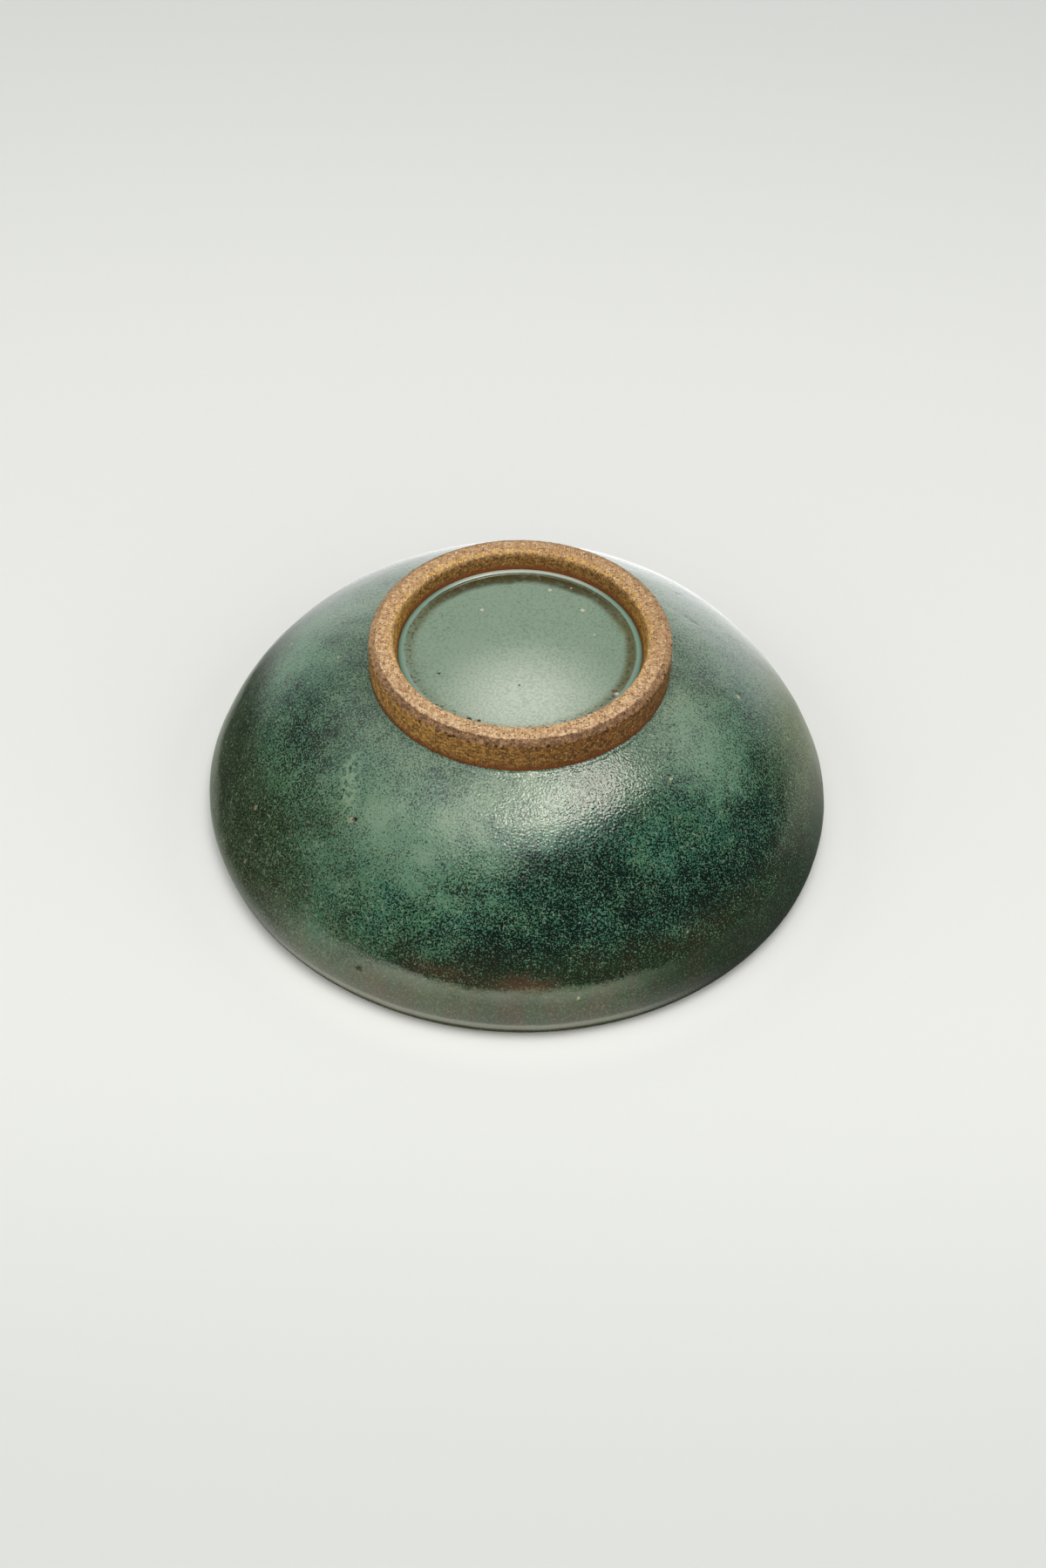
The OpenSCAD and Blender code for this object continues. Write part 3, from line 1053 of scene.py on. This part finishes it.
def foot_ring_material():
    material, tree, shader, where = new_material("bare_ring", matt)
    x, y, z = xyz(tree, where)
    height = minus(tree, z, times(tree, x, foot_lean))
    x = minus(tree, x, foot_shift)
    reach = reach_of(tree, x, y)
    ragged = swing(tree, where, 0.8 * MM, 0.5 * MM, 2.0, 0.6)
    level = total(tree, height, ragged)
    edge = total(tree, reach, times(tree, ragged, 0.5))
    past_crest = minus(tree, edge, foot_r - bevel_w)
    past_inner = minus(tree, edge, landing_in_r)
    outside = calc(tree, "GREATER_THAN", reach, landing_in_r)
    front = fade_mm(tree, y, 8, -26)
    right = fade_mm(tree, x, -34, 22)
    landing = times(tree, fade_mm(tree, past_crest, 0.35, 0), fade_mm(tree, past_inner, -0.5, 0.1))
    bevel = times(tree, fade_mm(tree, past_crest, 0, 0.35),
                  fade_mm(tree, minus(tree, level, bowl_h - bevel_h), -0.3, 0.1))
    masks = {"right": right, "front": front, "rear": fade_mm(tree, y, 0, 24), "outside": outside,
             "landing": landing, "bevel": bevel}
    # Painted shade: the landing and the outer wall are darker at the right, partly as shade away from the
    # light at the left, and the rear inner wall is darker as shade.
    top = washed(tree, colour(224, 184, 136), (right, colour(200, 161, 116)), (front, colour(231, 193, 149)))
    body = ring_tone(tree, masks, (colour(204, 150, 73), colour(146, 98, 44)),
                     (colour(206, 152, 66), colour(150, 108, 52)), top,
                     (colour(202, 164, 124), colour(152, 115, 83)))
    shade = ring_tone(tree, masks, (colour(124, 88, 46), colour(96, 62, 32)),
                      (colour(158, 112, 48), colour(112, 78, 38)), colour(184, 142, 102),
                      (colour(170, 132, 96), colour(108, 79, 57)))
    yolk = times(tree, fade_mm(tree, past_inner, 2.2, 0.2), landing, fade_mm(tree, y, -24, 4, 0.25, 0.75))
    # Painted highlight: a thin pale line along the bevel's crest in front.
    painted_crest_highlight = times(tree, near(tree, past_crest, 0.0, 0.5 * MM, 0.0), front, 0.5)
    body = washed(tree, body, (yolk, colour(230, 180, 94)), (painted_crest_highlight, colour(236, 206, 172)))
    rust_out = fade_mm(tree, minus(tree, level, glaze_line_z), 2.4, 0.5)
    rust_in = fade_mm(tree, minus(tree, level, well_z), 1.8, 0.6)
    rust = total(tree, times(tree, outside, rust_out, 0.85),
                 times(tree, minus(tree, 1.0, outside), rust_in, 0.85))
    group = put(tree, "ShaderNodeGroup", {
        "Where": where, "Body": body, "Shade": shade, "Rust": rust,
        "Pale": mix(tree, landing, colour(176, 140, 84), colour(240, 214, 178)),
        "Dark": mix(tree, landing, colour(70, 48, 28), colour(112, 80, 58))}, node_tree=grogged)
    # The pits under the bevel are painted nearly black: partly dark pits and partly painted shade of the
    # undercut groove there.
    pit = fade(tree, attribute(tree, "pit"), 0.2, 0.7, 0.0, 0.85)
    shown = mix(tree, pit, group.outputs["Colour"], colour(44, 30, 20))
    dress(tree, shader, group, depth=0.12 * MM, shown=shown)
    return material


bare_ring = foot_ring_material()


# %% Materials of the hidden clay and slip
def hidden_clay_material(name, depth, values):
    """Clay under glaze, in the group's own colours or in others."""
    material, tree, shader, where = new_material(name, matt)
    group = put(tree, "ShaderNodeGroup", {"Where": where, **values}, node_tree=grogged)
    dress(tree, shader, group, depth)
    return material


thrown_clay = hidden_clay_material("thrown_clay", 0.1 * MM, {})
seam_slip = hidden_clay_material("seam_slip", 0.04 * MM, {
    "Body": colour(150, 108, 70), "Shade": colour(112, 76, 46), "Grain Size": 0.3 * MM})

# %% [markdown]
# ## The pieces
#
# Now the pieces themselves, from the clay outwards. The hidden ones have few steps. The outer coat and
# the foot ring have the most, because they fill the picture.

# %% Clay body and slip
clay_section = joined(
    [[0, floor_z]], wall_inside(0, 8, 40)[::-1], lip_nose(0, 12)[::-1],
    wall_outside(glaze_t, 8, 40), [[base_r, seat_z], [base_r, base_z], [0, base_z]])
clay_body = turned_piece("fine_clay_body", clay_section, np.zeros(len(clay_section)), thrown_clay, steps=200)
slip_section = np.array([
    [foot_r, seat_z], [foot_r, ring_bottom_z], [well_r, ring_bottom_z], [well_r, base_z],
    [base_r, base_z], [base_r, seat_z], [foot_r, seat_z]])
foot_slip = turned_piece("fine_foot_slip", slip_section, np.zeros(len(slip_section)), seam_slip, steps=200)

# %% Marks on the outer coat
coat = wall_outside(0, 18, 104, 14)
# Each mark has a bearing, a level, a radius, a height, a tone and, where it is faint, a strength.
wall_marks = [
    (-41, 37, 1.6, 0.0, 1.0, 0.5), (-40, 37.5, 0.9, -0.3, 0.1), (-64, 25, 1.5, 0.05, 1.0, 0.55),
    (-59, 14.5, 1.1, 0.05, 1.0, 0.6), (-52, 14, 1.8, 0.0, 1.0, 0.4), (-48, 16.5, 1.6, 0.0, 1.0, 0.35),
    (-27, 12.5, 1.0, -0.25, 0.1), (-45, 35, 1.4, 0.0, 0.45, 0.4), (89, 40, 1.2, -0.15, 1.0, 0.7),
    (77, 25.5, 1.0, 0.0, 1.0, 0.6), (62, 41, 1.4, 0.0, 1.0, 0.4), (132, 40.5, 1.1, -0.15, 0.1, 0.8),
    (119, 44, 1.3, -0.1, 0.1, 0.6), (117, 43.5, 1.3, -0.1, 0.1, 0.6), (116, 43, 1.1, -0.1, 0.1, 0.6)]


def wall_mark(bearing, level, *mark):
    """A mark on the wall at a bearing and a level in millimetres."""
    return by_hand(bearing, np.interp(level * MM, coat[:, 1], coat[:, 0]), level * MM, *mark)


print("marks placed on the wall:", len(wall_marks))

# %% Outer coat
free_from = 2.5 * MM
coat_back = wall_outside(glaze_t, 4, 18)[::-1]
coat_section = np.concatenate([coat, coat_back, coat[:1]])
coat_skin = np.concatenate([np.clip(run_along(coat) / free_from, 0, 1), np.zeros(len(coat_back) + 1)])
outer_glaze = turned_piece("fine_outer_glaze", coat_section, coat_skin, green_coat, steps=580, marks=[
    (uneven, {"Lump Size": 22 * MM, "Lump Height": 0.3 * MM, "Ripple Size": 3.5 * MM,
              "Ripple Height": 0.05 * MM, "Ring Pitch": 9 * MM, "Ring Height": 0.008 * MM}),
    (glaze_line, {}),
    (strewn, {"Density": 900.0, "Smallest": 0.4 * MM, "Largest": 0.8 * MM, "Height": -0.2 * MM,
              "Mark": "pit", "Tone": "pit_tone", "Seed": 3}),
    *[wall_mark(*mark) for mark in wall_marks]])

# %% Lip coat and inner coat
lip_section = joined(lip_nose(0, 18), lip_nose(glaze_t, 24)[::-1], lip_nose(0, 18)[:1])
lip_glaze = turned_piece("fine_lip_glaze", lip_section, np.zeros(len(lip_section)), lip_coat, steps=400)
hollow = wall_inside(glaze_t, 14, 90)
flat_floor = evenly(np.array([[0, hollow[-1][1]], hollow[-1]]), 1 * MM)
inner_face = joined(flat_floor, hollow[::-1])
inner_section = joined(inner_face, wall_inside(0, 4, 16), [[0, floor_z]])
rows_to_lip = np.arange(len(inner_face))[::-1]
inner_skin = np.zeros(len(inner_section))
inner_skin[:len(inner_face)] = np.clip(rows_to_lip / 8, 0, 1)
inner_glaze = turned_piece("fine_inner_glaze", inner_section, inner_skin, inner_coat, steps=360, marks=[
    (uneven, {"Lump Size": 24 * MM, "Lump Height": 0.2 * MM, "Ripple Size": 4 * MM,
              "Ripple Height": 0.04 * MM, "Ring Pitch": 7 * MM, "Ring Height": 0.05 * MM})])

# %% Foot ring
ring_corners = [
    [foot_r, ring_bottom_z], [foot_r, bowl_h - bevel_h], [foot_r - bevel_w, bowl_h], [landing_in_r, bowl_h],
    [well_r, well_z], [well_r, ring_bottom_z]]
corner_cuts = [0.4 * MM, 0.4 * MM, 0.8 * MM, 0.1 * MM]
ring_path = evenly(soft_corners(ring_corners, corner_cuts), 0.22 * MM)
ring_section = joined(ring_path, evenly(np.array([ring_path[-1], ring_path[0]]), 1.5 * MM))
ring_middle = (foot_r + well_r) / 2
hidden_below = np.where(ring_section[:, 0] > ring_middle, glaze_line_z, well_z)
ring_skin = np.clip((ring_section[:, 1] - hidden_below) / (0.8 * MM), 0, 1)
foot_ring = turned_piece("fine_foot_ring", ring_section, ring_skin, bare_ring, steps=800, marks=[
    (uneven, {"Lump Size": 9 * MM, "Lump Height": 0.06 * MM, "Ripple Size": 0.6 * MM,
              "Ripple Height": 0.06 * MM}),
    (strewn, {"Density": 5e5, "Smallest": 0.35 * MM, "Largest": 0.6 * MM, "Height": 0.1 * MM, "Seed": 5}),
    (strewn, {"Density": 5e5, "Smallest": 0.25 * MM, "Largest": 0.7 * MM, "Height": -0.35 * MM, "Seed": 8,
              "Lowest": bowl_h - 1.9 * MM, "Highest": bowl_h - 1.1 * MM, "Least Reach": ring_middle,
              "Mark": "pit", "Tone": "pit_tone"})])

# %% Glaze in the well
bead_curve_r = (bead_w**2 / 4 + bead_h**2) / (2 * bead_h)
bead_c = np.array([well_r - bead_w / 2, well_z + bead_h - bead_curve_r])
bead_turn = angle_of(bead_c, (well_r, well_z))
pool = evenly(np.array([[well_r - bead_w, well_z], [0, well_z]]), 0.32 * MM)
well_top = joined(arc(bead_c, bead_curve_r, bead_turn, 180 - bead_turn, 12), pool)
well_bottom = np.array([[0, base_z], [well_r / 2, base_z], [well_r, base_z]])
well_section = joined(well_bottom, well_top)
well_skin = np.concatenate([np.zeros(len(well_bottom)), np.clip((well_r - well_top[:, 0]) / (1 * MM), 0, 1)])
# Each mark has a bearing, a reach, a radius, a height and a tone.
well_marks = [
    (-145, 17.5, 0.7, -0.12, 1.0), (135, 21.5, 0.8, -0.12, 1.0), (163, 23.5, 0.7, -0.12, 1.0),
    (60, 27, 1.1, -0.2, 0.45), (58.5, 28, 0.8, 0.1, 1.0), (-25, 27, 0.9, -0.1, 0.1),
    (-20, 26.5, 0.7, -0.1, 0.1), (-65, 21.5, 0.6, -0.1, 0.1)]
foot_well_glaze = turned_piece("fine_foot_well_glaze", well_section, well_skin, well_coat, steps=480, marks=[
    (uneven, {"Lump Size": 14 * MM, "Lump Height": 0.05 * MM, "Ripple Size": 3 * MM,
              "Ripple Height": 0.005 * MM}),
    (strewn, {"Density": 1500.0, "Smallest": 0.3 * MM, "Largest": 0.5 * MM, "Height": -0.12 * MM,
              "Mark": "pit", "Tone": "pit_tone", "Seed": 2}),
    *[by_hand(bearing, reach * MM, well_z, *mark) for bearing, reach, *mark in well_marks]])

# %% [markdown]
# ## The table and the light
#
# The bowl lies on a plain pale table. A soft box hangs above it, a weaker one stands at its left, and the
# room is bright behind the bowl and dark behind the camera. The dark side is what makes a glaze look
# deep: a glossy surface shows what it faces. For the same reason the table gives glossy rays a glow of
# its own, strongest in front of the lip and behind the bowl, in place of its lit colour. The world is
# plain white to the camera itself.

# %% Table
black = (0.0, 0.0, 0.0, 1.0)
dim_glow = 0.05
front_glow = 0.9
back_glow = 1.6
# The right and the left glow, for red, green and blue.
side_glows = [(0.4, 0.34), (0.43, 0.38), (0.36, 0.31)]


def table_material():
    material, tree, shader, where = new_material("table", {
        "Roughness": 0.7, "Specular IOR Level": 0.1, "Emission Strength": 1.0})
    x, y, _ = xyz(tree, where)
    reach = reach_of(tree, x, y)
    speckled = mix(tree, noise(tree, where, 4 * MM, 3.0), colour(243, 243, 239), colour(245, 244, 240))
    # Painted light: the table is a little lighter in a narrow ring round the lip, which lifts the bowl's
    # contact shadow, and a little darker behind the bowl and towards the front, which paints the falloff of
    # the light.
    floor_with_painted_light = washed(tree, speckled, (fade(tree, y, 0.15, 0.6), colour(231, 233, 230)),
                   (fade(tree, y, -0.06, -0.22), colour(228, 229, 225)),
                   (fade(tree, reach, 0.092, 0.081), colour(252, 251, 247)))
    glossy = put(tree, "ShaderNodeLightPath").outputs["Is Glossy Ray"]
    tree.links.new(mix(tree, glossy, floor_with_painted_light, black), shader.inputs["Base Color"])
    to_right = ratio(tree, x, reach)
    to_back = ratio(tree, y, reach)
    ahead = scaled(tree, to_right, -0.22, times(tree, to_back, -1.0))
    front = times(tree, fade(tree, ahead, 0.5, 1.0), fade(tree, reach, rim_r - 1 * MM, rim_r + 4 * MM))
    right = times(tree, fade(tree, reach, 0.45, 0.12), fade(tree, to_right, 0.5, 0.95),
                  fade(tree, y, -0.03, 0.03))
    left = times(tree, fade(tree, reach, 0.103, 0.09), fade(tree, to_right, -0.3, -0.8),
                 fade(tree, to_back, -0.85, -0.2))
    back = times(tree, fade(tree, to_back, 0.45, 0.95), fade(tree, to_right, -0.7, 0.1, 0.6, 1.0))
    even = total(tree, dim_glow, times(tree, front, front_glow), times(tree, back, back_glow))
    glow = []
    for right_share, left_share in side_glows:
        channel = total(tree, even, times(tree, right, right_share), times(tree, left, left_share))
        glow.append(times(tree, glossy, channel))
    mirrored = put(tree, "ShaderNodeCombineColor", dict(enumerate(glow))).outputs[0]
    tree.links.new(mirrored, shader.inputs["Emission Color"])
    return material


table_half = 3.0
table_mesh = bpy.data.meshes.new("table")
table_mesh.from_pydata([(-table_half, -table_half, 0), (table_half, -table_half, 0),
                        (table_half, table_half, 0), (-table_half, table_half, 0)], [], [(0, 1, 2, 3)])
table_mesh.materials.append(table_material())
table = bpy.data.objects.new("table", table_mesh)
scene.collection.objects.link(table)
print("table", 2 * table_half, "m across")


# %% Soft boxes
def soft_box(name, towards, distance, width, depth, radiance, turn=0):
    """An area light that faces the bowl. Its power follows from how bright its face looks."""
    light = bpy.data.lights.new(name, "AREA")
    light.shape = "RECTANGLE"
    light.size = width
    light.size_y = depth
    light.energy = radiance * math.pi * width * depth
    box = bpy.data.objects.new(name, light)
    scene.collection.objects.link(box)
    aim = Vector(towards).normalized()
    box.location = aim * distance
    facing = aim.to_track_quat("Z", "Y").to_matrix()
    box.rotation_euler = (facing @ Euler((0, 0, math.radians(turn))).to_matrix()).to_euler()
    box.visible_camera = False
    box.visible_glossy = False
    return box


soft_box("overhead", (0.06, -0.2, 1.0), distance=1.0, width=0.50, depth=0.40, radiance=5.5, turn=55)
soft_box("left", (-0.62, -0.30, 1.0), distance=1.2, width=0.9, depth=0.8, radiance=0.4)

# %% [markdown]
# ## The room
#
# The soft boxes themselves hide from glossy rays. What the glaze mirrors is painted on the world instead:
# two bright bars on the ceiling with a dim skirt round them, a softer glow at the left and the bright
# wall behind the bowl. This keeps the highlight's shape apart from the light that falls on the bowl.

# %% Room
# The middle and the half length of each bar along the lamp, and its offset across it.
lamp_bars = [(0.03, 0.36, -0.07), (0.12, 0.16, 0.15)]
lamp_turn = 32
lamp_glow = 7.8
skirt_glow = 1.8
left_glow = 0.46
wall_glow = 0.9
cool_tone = (0.98, 1.0, 0.985, 1.0)
warm_tone = (7.5, 4.6, 3.1, 1.0)


def mirrored_light(tree, direction):
    """What a glossy surface sees in each direction, and the lamp's own share of it."""
    x, y, z = xyz(tree, direction)
    upward = largest(tree, z, 0.05)
    ceiling = put(tree, "ShaderNodeCombineXYZ", {
        0: ratio(tree, x, upward), 1: ratio(tree, y, upward)}).outputs[0]
    sockets = {"Vector": ceiling, "Location": (0.2, 0.0, 0.0), "Rotation": (0, 0, math.radians(lamp_turn))}
    along, across, _ = xyz(tree, put(tree, "ShaderNodeMapping", sockets, vector_type="TEXTURE").outputs[0])
    bars = [times(tree, near(tree, along, middle, half + 0.06, half - 0.1),
                  near(tree, across, offset, 0.12, 0.03)) for middle, half, offset in lamp_bars]
    lamp = largest(tree, *bars)
    skirt = times(tree, near(tree, along, -0.26, 0.56, 0.2), near(tree, across, 0.0, 0.55, 0.15))
    left = soft_spot(tree, ceiling, (-0.68, -0.25, 0.0), (0.65, 0.65, 1.0), 0.6)
    high = times(tree, fade(tree, y, 0.05, 0.3), fade(tree, y, 0.45, 0.6, 1.0, 0.4), fade(tree, z, 0.3, 0.6),
                 fade(tree, x, -0.8, -0.4, 0.45, 1.0))
    low = times(tree, fade(tree, y, 0.45, 0.95, 0.0, 1.6), fade(tree, z, 0.65, 0.15),
                fade(tree, x, -0.7, 0.1, 0.6, 1.0))
    mirrored = total(tree, dim_glow, times(tree, lamp, lamp_glow), times(tree, skirt, skirt_glow),
                     times(tree, left, left_glow), low, times(tree, high, wall_glow))
    return mirrored, lamp


def room_world():
    world = bpy.data.worlds.new("room")
    world.use_nodes = True
    tree = world.node_tree
    tree.nodes.clear()
    direction = put(tree, "ShaderNodeTexCoord").outputs["Generated"]
    x, y, z = xyz(tree, direction)
    mirrored, lamp = mirrored_light(tree, direction)
    lit = times(tree, fade(tree, y, -0.35, 0.6, 0.78, 0.25), fade(tree, z, 0.0, 0.5, 1.3, 1.0),
                fade(tree, x, -0.6, 0.6, 0.95, 1.15))
    path = put(tree, "ShaderNodeLightPath").outputs
    glossy = path["Is Glossy Ray"]
    strength = put(tree, "ShaderNodeMix", {0: glossy, 2: lit, 3: mirrored}).outputs[0]
    warm = soft_spot(tree, direction, (0.03, -1.0, 0.07), (0.32, 1.0, 0.1), 0.5)
    tone = washed(tree, cool_tone, (times(tree, lamp, glossy), colour(255, 243, 233)),
                  (times(tree, warm, glossy), warm_tone))
    room = put(tree, "ShaderNodeBackground", {"Color": tone, "Strength": strength})
    white = put(tree, "ShaderNodeBackground", {"Color": colour(232, 233, 230), "Strength": 1.0})
    both = put(tree, "ShaderNodeMixShader", {
        0: path["Is Camera Ray"], 1: room.outputs[0], 2: white.outputs[0]})
    tree.links.new(both.outputs[0], put(tree, "ShaderNodeOutputWorld").inputs[0])
    return world


scene.world = room_world()
print("world:", scene.world.name)

# %% [markdown]
# ## The pieces on one body
#
# Every piece rides on the one body, and its solid node is hidden.

# %% Ride on the body and hide the solid nodes
finishes = [
    (clay_body, "clay_body", "clay"), (foot_slip, "foot_slip", "slip"), (foot_ring, "foot_ring", "foot_clay"),
    (outer_glaze, "outer_glaze", "green_glaze"), (lip_glaze, "lip_glaze", "lip_glaze"),
    (inner_glaze, "inner_glaze", "inner_glaze"), (foot_well_glaze, "foot_well_glaze", "well_glaze")]
for piece, node, finish in finishes:
    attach(piece, "root")
    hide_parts(node)
print("pieces:", [piece.name for piece, _, _ in finishes])
